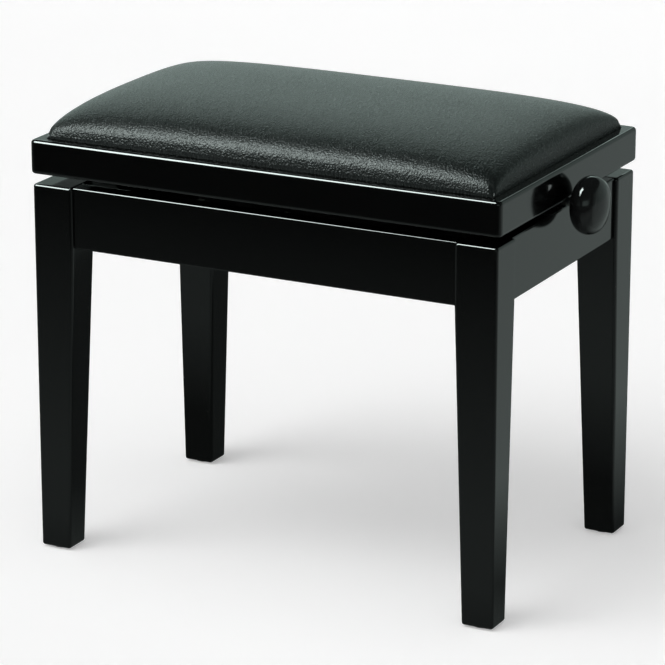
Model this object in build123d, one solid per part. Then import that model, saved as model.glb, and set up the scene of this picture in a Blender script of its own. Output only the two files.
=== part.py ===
from build123d import *
import os
from math import asin, atan, hypot, pi, sin, sqrt, tan

# Adjustable piano stool. Four tapered legs and their aprons carry a mitred seat frame with a padded
# board. A scissor lift between stand and seat is worked by a knob on a cross spindle.
# Millimetres. x runs to the right, y to the back, z up, from the floor midway between the feet.
# The seat is drawn at its lowest setting.

# Seat frame
seat_width = 550
seat_depth = 350
seat_frame_height = 37.5
seat_rail_width = 44
seat_corner_round = 6
seat_edge_round = 4
seat_rim = 13                 # strip of frame left in view round the cushion

# Padded seat
board_thickness = 12
cover_thickness = 1.2
cover_turn_in = 15            # cover folded under the board
cushion_clearance = 0.5       # between cover and rebate
crown_height = 40.5           # cushion above the frame, at its middle
crown_fullness = 3.5          # how long the crown stays level before it rolls down to the ends
end_swell = 0.48              # height left at the ends, as a share of the crown
shoulder_swell = 0.663        # height of the shoulder line, as a share of the crown
side_swell = 0.32             # height of the upright side, as a share of the crown
shoulder_setback = 21.5       # shoulder line to the cushion's edge
crown_steps = 8               # sections from the middle to each end

# Stand
stand_height = 411.3
seat_gap = 10.5               # open gap under the seat frame at the lowest setting
apron_height = 67.3
apron_thickness = 20
apron_recess = 4              # apron behind the leg's outer face
apron_round = 2
leg_width = 48
leg_depth = 45
foot_width = 36
foot_depth = 33
leg_inset_side = 2.8          # leg behind the end of the seat frame
leg_inset_front = 0.3         # leg behind the front of the seat frame
leg_round = 3.5
leg_end_round = 3
glide_radius = 11
glide_height = 2
panel_thickness = 3           # dust panel under the lift
panel_play = 0.3              # dust panel to aprons and legs
panel_clearance = 0.5         # dust panel to the arms where they dip furthest
panel_screw_reach = 150       # outer panel screws from the middle

# Joinery of stand and frame
dowel_radius = 4
dowel_length = 24
dowel_edge = 10               # dowel line to the apron's edge
mitre_dowel_spacing = 20
block_reach = 50              # corner block along the apron, from the leg
block_clearance = 4           # corner block to lift rail and to the stand's top edge
leg_bolt_radius = 4
leg_bolt_bite = 25
leg_bolt_height = 8           # bolt line above the block's lower face
bolt_head_width = 13
bolt_head_height = 5.5
bolt_flange_radius = 9
bolt_flange_height = 1.5

# Scissor lift
lift_travel = 95
spindle_lead = 3
pivot_setback = 66            # left pivots to the inside of the seat frame
nut_setback = 70              # nut bar to the inside of the seat frame
rail_clearance = 3            # lift rails to the legs and to the seat frame
rail_flange = 18
rail_thickness = 3
rail_bend = 3
rail_lift = 7.5               # lower rail above the apron's lower edge
lower_rail_height = 24
lower_pivot_height = 11       # lower pivots above the lower rail's underside
rail_end = 25                 # upper rail past its left pivot
rail_screw_bite = 5           # panel screw in the lower rail
pivot_margin = 12             # upper rail below its pivots
arm_width = 20
arm_thickness = 4
rod_radius = 4
centre_pin_radius = 5
centre_head_radius = 8
centre_head_height = 2.5
roller_radius = 7
clip_radius = 6.5
clip_thickness = 1
spacer_radius = 6.5
nut_width = 22
nut_height = 18
trunnion_radius = 5

# Spindle and knob
shaft_radius = 4
shaft_clearance = 0.7         # shaft to the seat frame above it
thread_radius = 6
shoulder_radius = 9
shoulder_length = 5.7
journal_radius = 4
relief_depth = 1              # groove at the end of the thread, one lead long
journal_end = 4               # journal past its bracket
collar_radius = 10
collar_length = 10
bracket_width = 48
bracket_thickness = 4
bracket_flange = 20
bracket_round = 12
bracket_margin = 16           # bracket below the spindle line
bush_wall = 3
bush_flange = 5
bush_flange_thickness = 1
nut_run_out = 14              # nut bar to bracket at each end of its travel
knob_radius = 31
knob_thickness = 38
knob_standoff = 2.5           # knob to the end of the seat frame
knob_dome = 5                 # rise of the domed faces
knob_dome_radius = 22       # domed faces up to the rounded rim
knob_wall = 12                # knob left in front of the shaft
grub_radius = 2
grub_recess = 0.5             # grub screw below the collar's surface

# Screws
screw_radius = 2
screw_head_radius = 3.5
screw_head_height = 2.4
screw_hole_clearance = 0.3
washer_radius = 5
washer_least = 1              # thinnest washer
board_bite = 9                # screw in the seat board
apron_bite = 14               # screw in the apron
ledge_land = 12               # wood under the board that a seat screw clamps
counterbore_clearance = 0.7
rail_screw_count = 4
rail_screw_edge = 20          # first screw to the end of the rail
bracket_screw_spacing = 30
tab_screw_edge = 5            # tab screws to the rail's face and edges

# Fits
running = 0.1                 # radial play of pins and shafts
slack = 0.4                   # side play between moving pieces
thread_play = 0.3             # spindle in the nut bar
slot_play = 0.4               # roller in its slot

# Places that follow from the sizes
apron_bottom = stand_height - apron_height
seat_bottom = stand_height + seat_gap
seat_top = seat_bottom + seat_frame_height
ledge_z = seat_top - board_thickness - cover_thickness
board_z = ledge_z + cover_thickness
seat_inner_x = seat_width / 2 - seat_rail_width
seat_inner_y = seat_depth / 2 - seat_rail_width
rebate_x = seat_width / 2 - seat_rim
rebate_y = seat_depth / 2 - seat_rim
cushion_x = rebate_x - cushion_clearance
cushion_y = rebate_y - cushion_clearance
leg_outer_x = seat_width / 2 - leg_inset_side
leg_outer_y = seat_depth / 2 - leg_inset_front
leg_inner_x = leg_outer_x - leg_width
leg_inner_y = leg_outer_y - leg_depth
apron_outer_x = leg_outer_x - apron_recess
apron_outer_y = leg_outer_y - apron_recess
apron_inner_x = apron_outer_x - apron_thickness
apron_inner_y = apron_outer_y - apron_thickness
apron_middle_x = apron_outer_x - apron_thickness / 2
apron_middle_y = apron_outer_y - apron_thickness / 2

# Lift, front half: y grows towards the front here and is turned round where pieces are placed
spindle_z = seat_bottom - shaft_clearance - shaft_radius
lower_rail_z = apron_bottom + rail_lift
lower_rail_top = lower_rail_z + lower_rail_height
block_bottom = lower_rail_top + block_clearance
block_top = stand_height - block_clearance
lower_pivot_z = lower_rail_z + lower_pivot_height
rail_out = min(leg_inner_y, seat_inner_y) - rail_clearance - rail_flange
rail_in = rail_out - rail_thickness
outer_arm_out = rail_in - slack
outer_arm_in = outer_arm_out - arm_thickness
inner_arm_out = outer_arm_in - slack
inner_arm_in = inner_arm_out - arm_thickness
clip_in = rail_out + slack
clip_out = clip_in + clip_thickness
rod_end = clip_out + clip_thickness

pivot_x = -(seat_inner_x - pivot_setback)
nut_x = seat_inner_x - nut_setback
closed_height = spindle_z - lower_pivot_z
open_height = closed_height + lift_travel
arm_length = hypot(nut_x - pivot_x, closed_height)
closed_angle = asin(closed_height / arm_length)
open_angle = asin(open_height / arm_length)
nut_open_x = pivot_x + sqrt(arm_length ** 2 - open_height ** 2)
centre_x = (pivot_x + nut_x) / 2
centre_z = (lower_pivot_z + spindle_z) / 2

# The arms turn in step with the lift, so the lower pivots wander a little between the two limits
middle_angle = (closed_angle + open_angle) / 2
link_drift = arm_length * sin(middle_angle) - (closed_height + open_height) / 2
arm_dip = link_drift + arm_width / 2 - lower_pivot_height
washer_thickness = max(washer_least, arm_dip + panel_clearance)
panel_top = lower_rail_z - washer_thickness
panel_z = panel_top - panel_thickness

thrust_x = nut_x + nut_width / 2 + nut_run_out + shoulder_length
shoulder_end = thrust_x - bush_flange_thickness - slack
end_x = nut_open_x - nut_width / 2 - nut_run_out
thread_start = end_x + bush_flange_thickness + slack
collar_x = thrust_x + bracket_thickness + slack
knob_x = seat_width / 2 + knob_standoff
knob_front = knob_x + knob_thickness
shaft_end = knob_front - knob_wall

down = (Align.CENTER, Align.CENTER, Align.MAX)
up = (Align.CENTER, Align.CENTER, Align.MIN)


# Helpers

def block(x, y, z):
    """Box between two limits on each axis."""
    spans = (x, y, z)
    size = [high - low for low, high in spans]
    middle = [(high + low) / 2 for low, high in spans]
    return Pos(*middle) * Box(*size)


def rod(radius, start, end):
    """Round bar between two points."""
    way = Vector(end) - Vector(start)
    return Plane(start, z_dir=way) * Cylinder(radius, way.length, align=up)


def across(radius, start, end):
    """Round bar on the spindle line, between two x limits."""
    return rod(radius, (start, 0, spindle_z), (end, 0, spindle_z))


def plate(outline, inner, outer):
    """Front plate with an outline drawn in x and z, between two distances from the middle."""
    return extrude(Plane.XZ.offset(inner) * outline, amount=outer - inner)


def ring(x, z, radius, bore, inner, outer):
    """Front ring on a line along y."""
    return plate(Pos(x, z) * (Circle(radius) - Circle(bore)), inner, outer)


def back(shape):
    """The same piece at the back."""
    return mirror(shape, about=Plane.XZ)


def left(shape):
    """The same piece on the left."""
    return mirror(shape, about=Plane.YZ)


def both(shapes):
    """Front pieces with their copies at the back."""
    return shapes + [back(shape) for shape in shapes]


def four(shape):
    """A front right piece with its copies at the other three corners."""
    return [shape, left(shape), back(shape), back(left(shape))]


def screw(place, way, length):
    """Pan head screw whose head rests at a place."""
    head = Cylinder(screw_head_radius, screw_head_height, align=down)
    head = chamfer(head.edges().sort_by(Axis.Z)[0], screw_head_height / 3)
    return Plane(place, z_dir=way) * (head + Cylinder(screw_radius, length, align=up))


def screw_hole(place, way, length):
    """Clearance hole for a screw."""
    return Plane(place, z_dir=way) * Cylinder(screw_radius + screw_hole_clearance, length, align=up)


# Stand

def apron_dowels():
    """Dowels between aprons and legs, two in each joint."""
    half = dowel_length / 2
    y = -apron_middle_y
    x = apron_middle_x
    dowels = []
    for z in (apron_bottom + dowel_edge, stand_height - dowel_edge):
        front = rod(dowel_radius, (leg_inner_x - half, y, z), (leg_inner_x + half, y, z))
        side = rod(dowel_radius, (x, -leg_inner_y - half, z), (x, -leg_inner_y + half, z))
        dowels += four(front) + four(side)
    return dowels


def leg_bolt():
    """Flanged bolt through the front right corner block into the leg's inner corner."""
    reach = (apron_inner_y - leg_inner_y + block_reach) / 2
    z = block_bottom + leg_bolt_height
    face = Vector(leg_inner_x - block_reach + reach, -apron_inner_y + reach, z)
    corner = Vector(leg_inner_x, -leg_inner_y, z)
    grip = (corner - face).length
    shank = Cylinder(leg_bolt_radius, grip + leg_bolt_bite, align=up)
    flange = Cylinder(bolt_flange_radius, bolt_flange_height, align=down)
    hexagon = RegularPolygon(bolt_head_width / 2, 6, major_radius=False)
    head = Pos(0, 0, -bolt_flange_height) * extrude(hexagon, amount=-bolt_head_height)
    return Plane(face, z_dir=corner - face) * (shank + flange + head)


def leg():
    """Front right leg: outer faces upright, inner faces tapered below the aprons."""
    sections = []
    for z, width, depth in (
        (glide_height, foot_width, foot_depth),
        (apron_bottom, leg_width, leg_depth),
        (stand_height, leg_width, leg_depth),
    ):
        middle = Pos(leg_outer_x - width / 2, depth / 2 - leg_outer_y, z)
        sections.append(middle * RectangleRounded(width, depth, leg_round))
    post = loft(sections, ruled=True)
    ends = post.edges().group_by(Axis.Z)
    return fillet(ends[0] + ends[-1], leg_end_round)


def front_apron():
    """Front apron, with its long edges eased."""
    board = block(
        (-leg_inner_x, leg_inner_x),
        (-apron_outer_y, -apron_inner_y),
        (apron_bottom, stand_height),
    )
    return fillet(board.edges().filter_by(Axis.X), apron_round)


def right_apron():
    """Right apron, with its long edges eased."""
    board = block(
        (apron_inner_x, apron_outer_x),
        (-leg_inner_y, leg_inner_y),
        (apron_bottom, stand_height),
    )
    return fillet(board.edges().filter_by(Axis.Y), apron_round)


def corner_block():
    """Front right glue block, notched round the leg."""
    reach = apron_inner_x - leg_inner_x + block_reach
    outline = Polygon(
        (leg_inner_x, -apron_inner_y),
        (leg_inner_x, -leg_inner_y),
        (apron_inner_x, -leg_inner_y),
        (apron_inner_x, -apron_inner_y + reach),
        (leg_inner_x - block_reach, -apron_inner_y),
        align=None,
    )
    return extrude(Pos(0, 0, block_bottom) * outline, amount=block_top - block_bottom, dir=(0, 0, 1))


def foot_glide():
    """Felt glide under the front right leg."""
    place = Pos(leg_outer_x - foot_width / 2, foot_depth / 2 - leg_outer_y, 0)
    return place * Cylinder(glide_radius, glide_height, align=up)


def lift_slot(z, height):
    """Outline of the slot that a roller runs along."""
    place = Pos((nut_x + nut_open_x) / 2, z)
    return place * SlotCenterToCenter(nut_x - nut_open_x + 2 * slot_play, height)


def tab_places():
    """Screws of the front lower rail's right end tab."""
    y = -(rail_out + tab_screw_edge)
    low = lower_rail_z + rail_thickness + tab_screw_edge
    high = lower_rail_top - tab_screw_edge
    return [(apron_inner_x - rail_thickness, y, z) for z in (low, high)]


def lower_rail():
    """Front lower rail: an angle between the side aprons, with a screwed tab at each end."""
    across_x = (-apron_inner_x, apron_inner_x)
    y_out = -(rail_out + rail_flange)
    web = block(across_x, (-rail_out, -rail_in), (lower_rail_z, lower_rail_top))
    flange = block(across_x, (y_out, -rail_in), (lower_rail_z, lower_rail_z + rail_thickness))
    tab_x = (apron_inner_x - rail_thickness, apron_inner_x)
    tab = block(tab_x, (y_out, -rail_in), (lower_rail_z, lower_rail_top))
    rail = web + flange + tab + left(tab)
    hole_width = 2 * (rod_radius + slot_play)
    hole = SlotOverall(hole_width + 2 * link_drift, hole_width)
    pivot = Pos(pivot_x, lower_pivot_z) * Rot(0, 0, 90) * hole
    slot = lift_slot(lower_pivot_z, 2 * (roller_radius + slot_play + link_drift))
    rail -= plate(pivot + slot, 0, rail_out + rail_thickness)
    for place in tab_places():
        hole = screw_hole(place, (1, 0, 0), rail_thickness)
        rail -= [hole, left(hole)]
    return rail


def lower_rail_screws():
    """Screws that hold the lower rails to the side aprons."""
    screws = []
    for place in tab_places():
        screws += four(screw(place, (1, 0, 0), rail_thickness + apron_bite))
    return screws


def dust_panel():
    """Thin panel that closes the stand under the lift, notched round the legs."""
    edge_x = apron_inner_x - panel_play
    edge_y = apron_inner_y - panel_play
    z = (panel_z, panel_top)
    panel = block((-edge_x, edge_x), (-edge_y, edge_y), z)
    notch = block((leg_inner_x - panel_play, edge_x), (-edge_y, panel_play - leg_inner_y), z)
    panel -= four(notch)
    for place in panel_screw_places():
        panel -= both([screw_hole(place, (0, 0, 1), panel_thickness)])
    return panel


def panel_screw_places():
    """Screws of the dust panel into the front lower rail."""
    y = -(rail_out + rail_flange / 2)
    return [(x, y, panel_z) for x in (-panel_screw_reach, 0, panel_screw_reach)]


def dust_panel_screws():
    """Screws that hold the dust panel up to the lower rails."""
    length = panel_thickness + washer_thickness + rail_screw_bite
    return both([screw(place, (0, 0, 1), length) for place in panel_screw_places()])


def dust_panel_washers():
    """Washers between panel and lower rails, which keep the panel clear of the arms."""
    outline = Circle(washer_radius) - Circle(screw_radius + screw_hole_clearance)
    washers = []
    for x, y, z in panel_screw_places():
        face = Pos(x, y, panel_top) * outline
        washers.append(extrude(face, amount=washer_thickness, dir=(0, 0, 1)))
    return both(washers)


# Seat

def seat_ring():
    """The whole seat frame, with rounded outer edges, an opening and a rebate for the board."""
    outer = block(
        (-seat_width / 2, seat_width / 2),
        (-seat_depth / 2, seat_depth / 2),
        (seat_bottom, seat_top),
    )
    outer = fillet(outer.edges().filter_by(Axis.Z), seat_corner_round)
    levels = outer.edges().group_by(Axis.Z)
    outer = fillet(levels[0] + levels[-1], seat_edge_round)
    inner_x = (-seat_inner_x, seat_inner_x)
    inner_y = (-seat_inner_y, seat_inner_y)
    opening = block(inner_x, inner_y, (seat_bottom, seat_top))
    rebate = block((-rebate_x, rebate_x), (-rebate_y, rebate_y), (ledge_z, seat_top))
    return outer - opening - rebate


def mitre(ring_shape, toward_x, toward_y):
    """One rail of the seat frame, cut off at the two mitres."""
    out_x = seat_width / 2
    out_y = seat_depth / 2
    in_x = seat_inner_x
    in_y = seat_inner_y
    if toward_y:
        ends = [(-out_x, out_y), (out_x, out_y), (in_x, in_y), (-in_x, in_y)]
        outline = [(x, y * toward_y) for x, y in ends]
    else:
        ends = [(out_x, -out_y), (out_x, out_y), (in_x, in_y), (in_x, -in_y)]
        outline = [(x * toward_x, y) for x, y in ends]
    face = Pos(0, 0, seat_bottom) * Polygon(*outline, align=None)
    wedge = extrude(face, amount=seat_frame_height, dir=(0, 0, 1))
    return ring_shape & wedge


def mitre_dowels():
    """Dowels across the mitres, two in each corner, under the rebate."""
    z = (seat_bottom + ledge_z) / 2
    step = mitre_dowel_spacing / 2 / sqrt(2)
    half = dowel_length / 2 / sqrt(2)
    dowels = []
    for side in (-step, step):
        x = seat_width / 2 - seat_rail_width / 2 + side
        y = -(seat_depth / 2 - seat_rail_width / 2 + side)
        dowels += four(rod(dowel_radius, (x - half, y - half, z), (x + half, y + half, z)))
    return dowels


def cushion_section(share, inset, floor):
    """Cross section of the cushion at a share of its half width."""
    x = share * (cushion_x - inset)
    y = cushion_y - inset
    swell = (1 - (1 - end_swell ** 4) * abs(share) ** crown_fullness) ** 0.25
    rise = (crown_height - inset) * swell
    crown = Vector(x, 0, seat_top + rise)
    shoulder = Vector(x, -(y - shoulder_setback), seat_top + rise * shoulder_swell)
    side = Vector(x, -y, seat_top + rise * side_swell)
    foot = Vector(x, -y, floor)
    far_foot = Vector(x, y, floor)
    far_side = Vector(x, y, side.Z)
    far_shoulder = Vector(x, -shoulder.Y, shoulder.Z)
    top = ThreePointArc(shoulder, crown, far_shoulder)
    near_roll = TangentArc(shoulder, side, tangent=-(top % 0))
    far_roll = TangentArc(far_shoulder, far_side, tangent=top % 1)
    lines = [Line(far_side, far_foot), Line(far_foot, foot), Line(foot, side)]
    return Face(Wire([near_roll, top, far_roll] + lines))


def cushion_form(inset, floor):
    """Crowned cushion, drawn in at its sides and rolled down at its ends."""
    steps = range(-crown_steps, crown_steps + 1)
    shares = [sin(step / crown_steps * pi / 2) for step in steps]
    return loft([cushion_section(share, inset, floor) for share in shares])


def upper_rail_places():
    """Screws of the front upper rail into the seat board."""
    first = pivot_x - rail_end + rail_screw_edge
    step = -2 * first / (rail_screw_count - 1)
    y = -(rail_out + rail_flange / 2)
    z = board_z - rail_thickness
    return [(first + step * number, y, z) for number in range(rail_screw_count)]


def upper_rail():
    """Front upper rail: an angle under the seat board with the fixed pivots and the nut bar's slot."""
    half = -pivot_x + rail_end
    across_x = (-half, half)
    web = block(across_x, (-rail_out, -rail_in), (spindle_z - pivot_margin, board_z))
    flange_y = (-(rail_out + rail_flange), -rail_in)
    flange = block(across_x, flange_y, (board_z - rail_thickness, board_z))
    rail = web + flange
    bend = rail.edges().filter_by(Axis.X).group_by(Axis.Z)[-1].sort_by(Axis.Y)[-1]
    rail = fillet(bend, rail_bend)
    pivot = Pos(pivot_x, spindle_z) * Circle(rod_radius + running)
    slot = lift_slot(spindle_z, 2 * (roller_radius + slot_play))
    rail -= plate(pivot + slot, 0, rail_out + rail_thickness)
    for place in upper_rail_places():
        rail -= screw_hole(place, (0, 0, 1), rail_thickness)
    return rail


def upper_rail_screws():
    """Screws that hold the upper rails to the seat board."""
    places = upper_rail_places()
    return both([screw(place, (0, 0, 1), rail_thickness + board_bite) for place in places])


def bracket_places(edge_x, way):
    """Two screws of a spindle bracket's flange, which starts at an x and runs one way."""
    x = edge_x + way * bracket_flange / 2
    return [(x, side * bracket_screw_spacing / 2, board_z - rail_thickness) for side in (-1, 1)]


def bracket(start, way, bore):
    """Spindle bracket under the seat board: an upright plate and a flange that runs one way."""
    half = bracket_width / 2
    end = start + bracket_thickness
    edge_x = end if way > 0 else start
    upright = block((start, end), (-half, half), (spindle_z - bracket_margin, board_z))
    low_corners = upright.edges().filter_by(Axis.X).group_by(Axis.Z)[0]
    upright = fillet(low_corners, bracket_round)
    reach = sorted((edge_x, edge_x + way * bracket_flange))
    flange = block(reach, (-half, half), (board_z - rail_thickness, board_z))
    shape = upright + flange - across(bore, start, end)
    for place in bracket_places(edge_x, way):
        shape -= screw_hole(place, (0, 0, 1), rail_thickness)
    return shape


def bush(bore, start, flange_start):
    """Flanged bush pressed into a spindle bracket."""
    sleeve = across(bore + bush_wall, start, start + bracket_thickness)
    flange = across(bore + bush_flange, flange_start, flange_start + bush_flange_thickness)
    return sleeve + flange - across(bore, start - bracket_thickness, start + 2 * bracket_thickness)


def bracket_screws():
    """Screws that hold the spindle brackets to the seat board."""
    places = bracket_places(thrust_x + bracket_thickness, 1)
    places += bracket_places(end_x - bracket_thickness, -1)
    return [screw(place, (0, 0, 1), rail_thickness + board_bite) for place in places]


def seat_screw_places():
    """Screws up through the seat frame's ledge into the board."""
    x = (seat_inner_x + cushion_x - cover_turn_in) / 2
    y = (seat_inner_y + cushion_y - cover_turn_in) / 2
    z = ledge_z - ledge_land
    places = []
    for side in (-1, 1):
        places += [(along, side * y, z) for along in (-nut_x, 0, nut_x)]
        places += [(side * x, along, z) for along in (-seat_inner_y / 2, seat_inner_y / 2)]
    return places


def seat_screws():
    """Screws that hold the padded board in the seat frame."""
    length = ledge_land + cover_thickness + board_bite
    return [screw(place, (0, 0, 1), length) for place in seat_screw_places()]


def seat_screw_bores():
    """Counterbored holes for the seat screws."""
    radius = screw_head_radius + counterbore_clearance
    bores = []
    for place in seat_screw_places():
        x, y, z = place
        bores.append(rod(radius, (x, y, seat_bottom), place))
        bores.append(screw_hole(place, (0, 0, 1), ledge_land))
    return bores


# Scissor lift

def arm(angle, inner, outer, holes):
    """Front arm of the scissor, with round ends and a hole at each pivot."""
    turn = Pos(centre_x, centre_z) * Rot(0, 0, angle * 180 / pi)
    outline = turn * SlotCenterToCenter(arm_length, arm_width)
    for share, radius in holes:
        outline -= turn * Pos(share * arm_length, 0) * Circle(radius)
    return plate(outline, inner, outer)


def inner_arm():
    """Front arm from the seat's left pivot to the lower slot."""
    holes = ((-0.5, rod_radius), (0, centre_pin_radius + running), (0.5, rod_radius))
    return arm(-closed_angle, inner_arm_in, inner_arm_out, holes)


def outer_arm():
    """Front arm from the stand's left pivot to the nut bar."""
    holes = ((-0.5, rod_radius), (0, centre_pin_radius), (0.5, trunnion_radius + running))
    return arm(closed_angle, outer_arm_in, outer_arm_out, holes)


def cross_rod(x, z):
    """Rod from front to back through a pair of arms."""
    return rod(rod_radius, (x, -rod_end, z), (x, rod_end, z))


def lower_roller():
    """Front roller on the slide rod, in the lower slot."""
    return ring(nut_x, lower_pivot_z, roller_radius, rod_radius, rail_in - slack, rail_out + slack)


def upper_roller():
    """Front roller on the nut bar's trunnion, in the upper slot."""
    return ring(nut_x, spindle_z, roller_radius, trunnion_radius, rail_in, rail_out + slack)


def rod_spacers():
    """Sleeves that hold the inner arms off the rails."""
    upper = ring(pivot_x, spindle_z, spacer_radius, rod_radius, inner_arm_out, rail_in - slack)
    lower = ring(nut_x, lower_pivot_z, spacer_radius, rod_radius, inner_arm_out, rail_in - slack)
    return both([upper, lower])


def rod_clip(x, z, bore):
    """Retaining ring outside the front rail."""
    return ring(x, z, bore + clip_radius - rod_radius, bore, clip_in, clip_out)


def centre_pin():
    """Front centre pivot: a headed pin fixed in the outer arm."""
    place = Pos(centre_x, centre_z)
    head = plate(place * Circle(centre_head_radius), outer_arm_out, outer_arm_out + centre_head_height)
    end = inner_arm_in - slack - 2 * clip_thickness
    return head + plate(place * Circle(centre_pin_radius), end, outer_arm_out)


def centre_clip():
    """Front retaining ring on the centre pivot."""
    end = inner_arm_in - slack
    radius = centre_pin_radius + clip_radius - rod_radius
    return ring(centre_x, centre_z, radius, centre_pin_radius, end - clip_thickness, end)


def nut_bar():
    """Bar with turned ends that the spindle draws along."""
    half = outer_arm_in - slack
    bar = block(
        (nut_x - nut_width / 2, nut_x + nut_width / 2),
        (-half, half),
        (spindle_z - nut_height / 2, spindle_z + nut_height / 2),
    )
    trunnions = rod(trunnion_radius, (nut_x, -rod_end, spindle_z), (nut_x, rod_end, spindle_z))
    hole = across(thread_radius + thread_play, nut_x - nut_width, nut_x + nut_width)
    return bar + trunnions - hole


# Spindle and knob

def spindle():
    """Turned spindle: end journal, threaded length, thrust shoulder and plain shaft."""
    shoulder_start = shoulder_end - shoulder_length
    thread_end = shoulder_start - spindle_lead
    return (
        across(journal_radius, end_x - bracket_thickness - journal_end, thread_start)
        + across(thread_radius, thread_start, thread_end)
        + across(thread_radius - relief_depth, thread_end, shoulder_start)
        + across(shoulder_radius, shoulder_start, shoulder_end)
        + across(shaft_radius, shoulder_end, shaft_end)
    )


def collar_screw():
    """Grub screw in the set collar, bearing on the shaft."""
    x = collar_x + collar_length / 2
    top = spindle_z + collar_radius - grub_recess
    return rod(grub_radius, (x, 0, spindle_z + shaft_radius), (x, 0, top))


def spindle_collar():
    """Set collar that takes the spindle's thrust behind the bracket."""
    x = collar_x + collar_length / 2
    collar = across(collar_radius, collar_x, collar_x + collar_length)
    collar -= across(shaft_radius, collar_x, collar_x + collar_length)
    return collar - rod(grub_radius, (x, 0, spindle_z), (x, 0, spindle_z + collar_radius))


def knob_half(face_x, way):
    """Dome and rounded rim of one face of the knob, from the axis outwards."""
    turn = 2 * atan(knob_dome / knob_dome_radius)
    rim_length = (knob_radius - knob_dome_radius) / tan(pi / 4 - turn / 2)
    edge_x = face_x - way * knob_dome
    dome = TangentArc((face_x, spindle_z), (edge_x, spindle_z + knob_dome_radius), tangent=(0, 1))
    rim = TangentArc(dome @ 1, (edge_x - way * rim_length, spindle_z + knob_radius), tangent=dome % 1)
    return [dome, rim]


def knob():
    """Bun-shaped knob with two domed faces, bored for the shaft."""
    front = knob_half(knob_front, 1)
    rear = knob_half(knob_x, -1)
    closing = [Line(front[1] @ 1, rear[1] @ 1), Line(rear[0] @ 0, front[0] @ 0)]
    face = Plane.XZ * make_face(front + rear + closing)
    body = revolve(face, axis=Axis((0, 0, spindle_z), (1, 0, 0)))
    return body - across(shaft_radius, knob_x, shaft_end)


# All pieces, by name

def corners(name, shape):
    """Names for a front right piece and its three copies."""
    places = ("front_right", "front_left", "back_right", "back_left")
    return {f"{name}_{place}": piece for place, piece in zip(places, four(shape))}


def pair(name, shape):
    """Names for a front piece and its copy at the back."""
    return {f"{name}_front": shape, f"{name}_back": back(shape)}


def stand_pieces():
    dowels = apron_dowels()
    bolts = four(leg_bolt())
    front = front_apron() - dowels
    right = right_apron() - dowels - lower_rail_screws()
    pieces = corners("leg", leg() - dowels - bolts)
    pieces |= pair("apron", front)
    pieces |= {"apron_right": right, "apron_left": left(right)}
    pieces |= corners("corner_block", corner_block() - bolts)
    pieces |= pair("lower_rail", lower_rail() - dust_panel_screws())
    pieces["apron_dowels"] = dowels
    pieces["leg_bolts"] = bolts
    pieces["foot_glides"] = four(foot_glide())
    pieces["lower_rail_screws"] = lower_rail_screws()
    pieces["dust_panel"] = dust_panel()
    pieces["dust_panel_screws"] = dust_panel_screws()
    pieces["dust_panel_washers"] = dust_panel_washers()
    return pieces


def seat_pieces():
    dowels = mitre_dowels()
    whole = seat_ring() - dowels - seat_screw_bores()
    inner = cushion_form(cover_thickness, board_z)
    outer = cushion_form(0, ledge_z)
    window_x = cushion_x - cover_turn_in
    window_y = cushion_y - cover_turn_in
    window = block((-window_x, window_x), (-window_y, window_y), (ledge_z, board_z))
    board_x = cushion_x - cover_thickness
    board_y = cushion_y - cover_thickness
    board = block((-board_x, board_x), (-board_y, board_y), (board_z, seat_top))
    pieces = {
        "seat_rail_front": mitre(whole, 0, -1),
        "seat_rail_back": mitre(whole, 0, 1),
        "seat_rail_left": mitre(whole, -1, 0),
        "seat_rail_right": mitre(whole, 1, 0),
        "mitre_dowels": dowels,
        "seat_board": board - seat_screws() - upper_rail_screws() - bracket_screws(),
        "seat_foam": inner - board,
        "seat_cover": outer - inner - window,
        "seat_board_screws": seat_screws(),
        "upper_rail_screws": upper_rail_screws(),
        "bracket_screws": bracket_screws(),
        "thrust_bracket": bracket(thrust_x, 1, shaft_radius + running + bush_wall),
        "end_bracket": bracket(end_x - bracket_thickness, -1, journal_radius + running + bush_wall),
        "thrust_bush": bush(shaft_radius + running, thrust_x, thrust_x - bush_flange_thickness),
        "end_bush": bush(journal_radius + running, end_x - bracket_thickness, end_x),
    }
    return pieces | pair("upper_rail", upper_rail())


def lift_pieces():
    pieces = pair("inner_arm", inner_arm())
    pieces |= pair("outer_arm", outer_arm())
    pieces |= pair("lower_roller", lower_roller())
    pieces |= pair("upper_roller", upper_roller())
    pieces["upper_pivot_rod"] = cross_rod(pivot_x, spindle_z)
    pieces["lower_slide_rod"] = cross_rod(nut_x, lower_pivot_z)
    pieces["lower_pivot_rod"] = cross_rod(pivot_x, lower_pivot_z)
    pieces["rod_spacers"] = rod_spacers()
    pieces["centre_pins"] = both([centre_pin()])
    pieces["nut_bar"] = nut_bar()
    pieces["inner_rod_clips"] = both(
        [rod_clip(pivot_x, spindle_z, rod_radius), rod_clip(nut_x, lower_pivot_z, rod_radius)]
    )
    pieces["outer_rod_clips"] = both([rod_clip(pivot_x, lower_pivot_z, rod_radius), centre_clip()])
    pieces["nut_bar_clips"] = both([rod_clip(nut_x, spindle_z, trunnion_radius)])
    return pieces


def spindle_pieces():
    return {
        "spindle": spindle(),
        "spindle_collar": spindle_collar(),
        "collar_screw": collar_screw(),
        "knob": knob(),
    }


def solids_of(piece):
    """Every solid of a piece or of a group of pieces."""
    shapes = piece if isinstance(piece, list) else [piece]
    return [solid for shape in shapes for solid in shape.solids()]


os.makedirs("parts", exist_ok=True)
for name, piece in (stand_pieces() | seat_pieces() | lift_pieces() | spindle_pieces()).items():
    export_step(Compound(solids_of(piece)), f"parts/{name}.step")

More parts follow.
